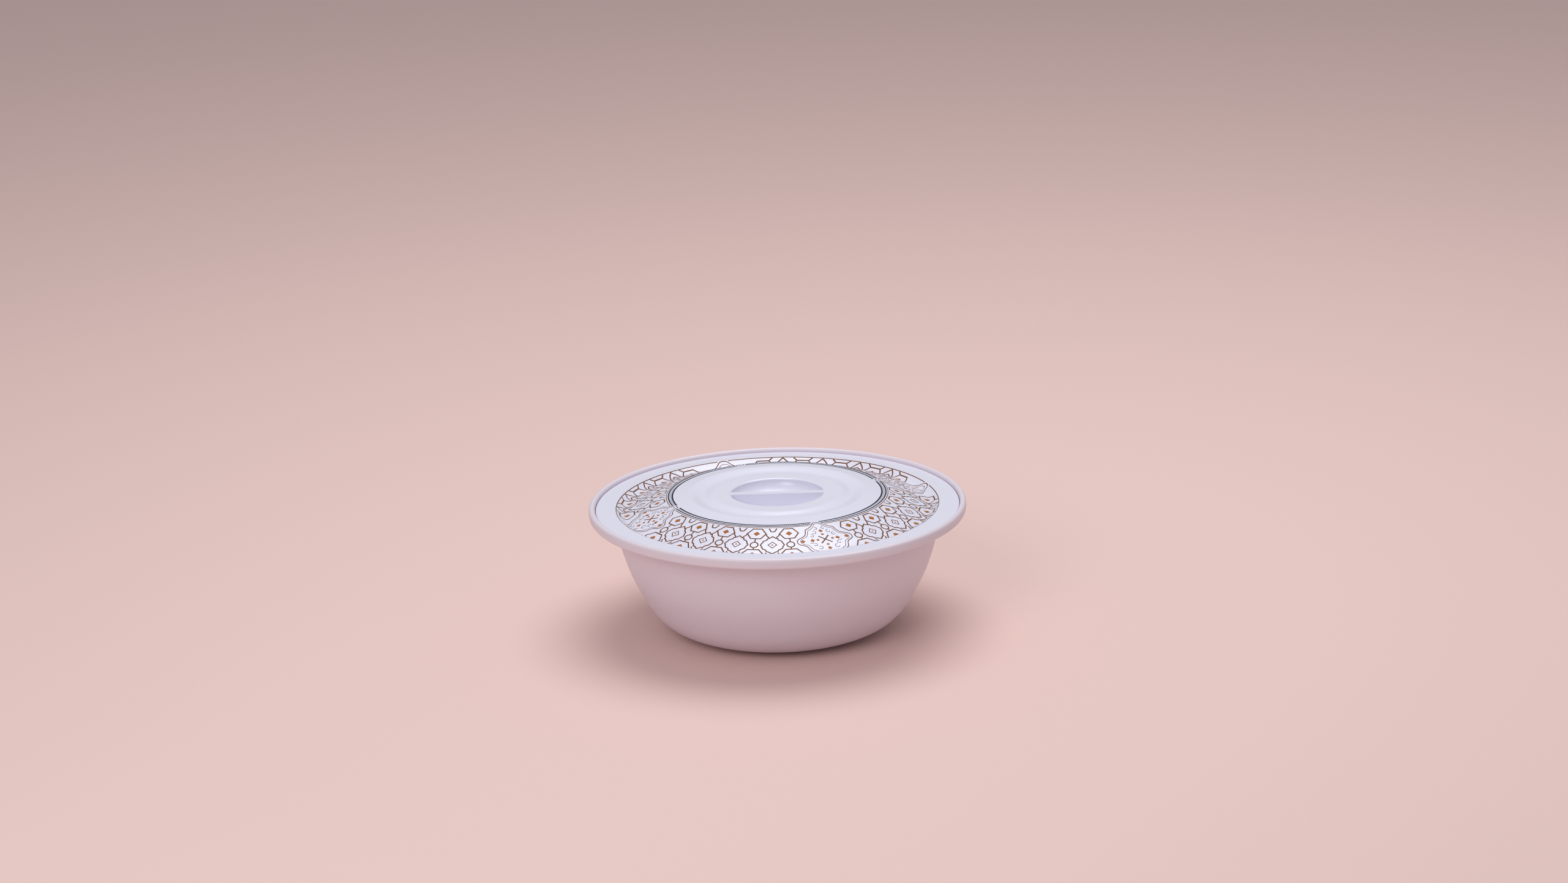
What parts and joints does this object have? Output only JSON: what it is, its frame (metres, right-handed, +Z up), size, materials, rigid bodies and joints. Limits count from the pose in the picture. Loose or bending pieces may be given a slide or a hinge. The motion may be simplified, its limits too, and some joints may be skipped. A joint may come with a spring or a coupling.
{
  "type": "covered serving bowl",
  "caption": "Deep round serving bowl with a raised rim lip and a drop-in lid that has a recessed bar grip and a printed border.",
  "frame": {"origin": "centre of the circle on which the foot ring stands", "axes": "+Z up along the bowl's axis; X runs along the bar of the lid's grip; -Y is the front in the picture"},
  "size_m": [0.24, 0.24, 0.0893],
  "materials": {
    "bowl": "moulded melamine, satin outside",
    "lid": "moulded melamine, polished",
    "printed_ring": "printed foil under a clear melamine glaze"
  },
  "bodies": {
    "bowl": {"bowl": "bowl"},
    "lid": {"lid": "lid", "printed_ring": "printed_ring"}
  },
  "joints": [
    {"name": "lid_lift", "type": "slide", "parent": "bowl", "child": "lid", "axis": [0, 0, 1], "range_m": [0, 0.12]}
  ]
}
